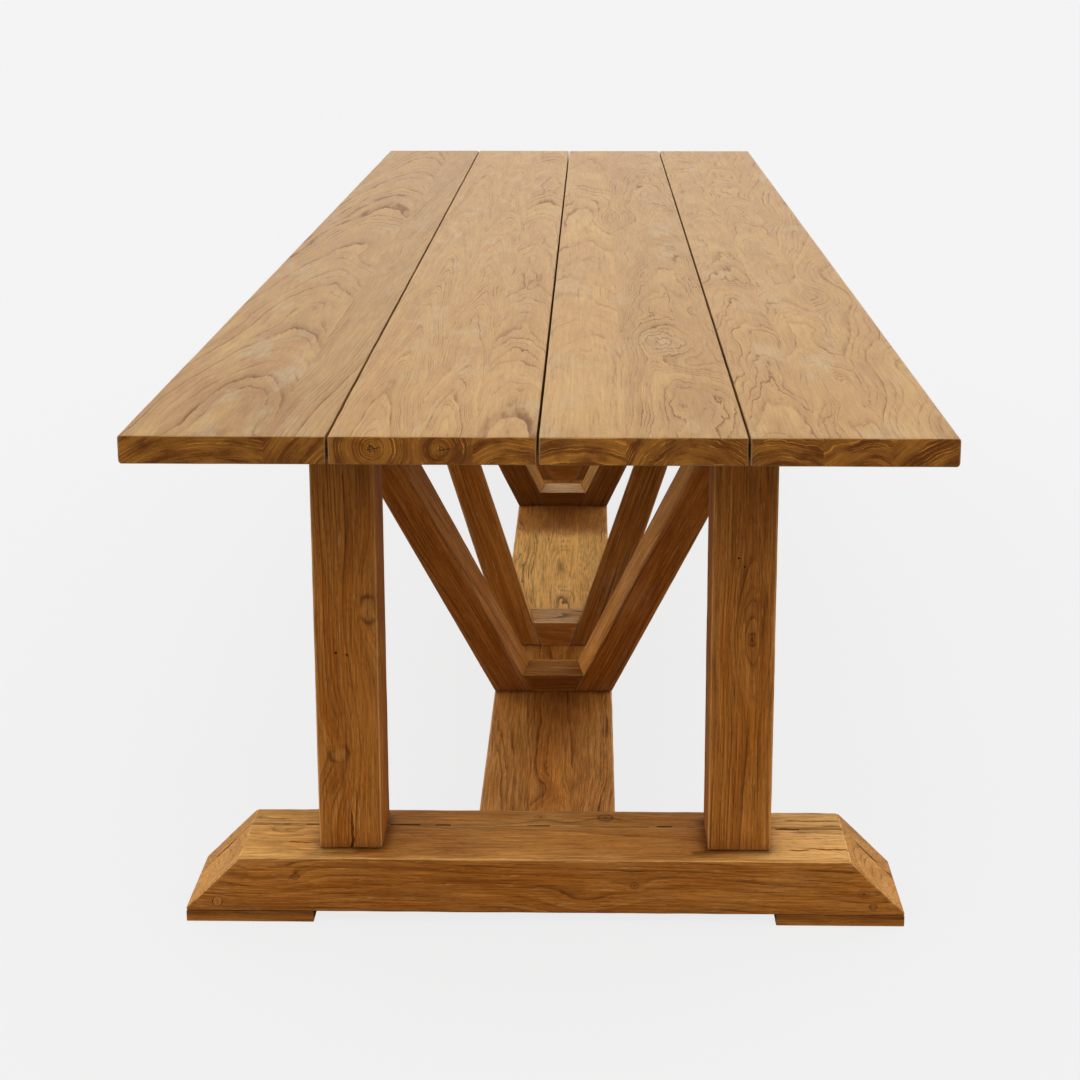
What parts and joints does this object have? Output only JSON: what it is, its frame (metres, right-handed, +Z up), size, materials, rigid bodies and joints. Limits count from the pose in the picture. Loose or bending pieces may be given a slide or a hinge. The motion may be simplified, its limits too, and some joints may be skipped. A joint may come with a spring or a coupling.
{
  "type": "trestle dining table",
  "caption": "Long wooden trestle dining table with a gapped plank top, square posts on bevelled feet, a low stretcher and leaning V braces.",
  "frame": {"origin": "on the floor under the middle of the table", "axes": "+Z up, +Y along the table's length, +X across it"},
  "size_m": [1, 2.8, 0.77],
  "materials": {
    "top_teak": "brushed oiled teak",
    "post_teak": "brushed oiled teak",
    "foot_teak": "brushed oiled teak",
    "stretcher_teak": "brushed oiled teak",
    "brace_teak": "brushed oiled teak",
    "bearer_teak": "sawn teak",
    "plug_wood": "end cut teak",
    "dowel_wood": "turned beech",
    "screw_steel": "zinc plated"
  },
  "bodies": {
    "root": {"brace_1_bearer": "bearer_teak", "brace_1_left_leg": "brace_teak", "brace_1_right_leg": "brace_teak", "brace_1_sill": "brace_teak", "brace_2_bearer": "bearer_teak", "brace_2_left_leg": "brace_teak", "brace_2_right_leg": "brace_teak", "brace_2_sill": "brace_teak", "brace_3_bearer": "bearer_teak", "brace_3_left_leg": "brace_teak", "brace_3_right_leg": "brace_teak", "brace_3_sill": "brace_teak", "brace_4_bearer": "bearer_teak", "brace_4_left_leg": "brace_teak", "brace_4_right_leg": "brace_teak", "brace_4_sill": "brace_teak", "brace_base_screws": "screw_steel", "brace_top_screws": "screw_steel", "cap_screws": "screw_steel", "far_cap_beam": "bearer_teak", "far_foot_inner_beam": "foot_teak", "far_foot_outer_beam": "foot_teak", "far_left_pad": "foot_teak", "far_left_post": "post_teak", "far_right_pad": "foot_teak", "far_right_post": "post_teak", "foot_plugs": "plug_wood", "foot_screws": "screw_steel", "near_cap_beam": "bearer_teak", "near_foot_inner_beam": "foot_teak", "near_foot_outer_beam": "foot_teak", "near_left_pad": "foot_teak", "near_left_post": "post_teak", "near_right_pad": "foot_teak", "near_right_post": "post_teak", "pad_screws": "screw_steel", "plank_screws": "screw_steel", "post_lag_screws": "screw_steel", "sill_dowels": "dowel_wood", "stretcher": "stretcher_teak", "stretcher_screws": "screw_steel", "top_plank_1": "top_teak", "top_plank_2": "top_teak", "top_plank_3": "top_teak", "top_plank_4": "top_teak"}
  },
  "joints": []
}
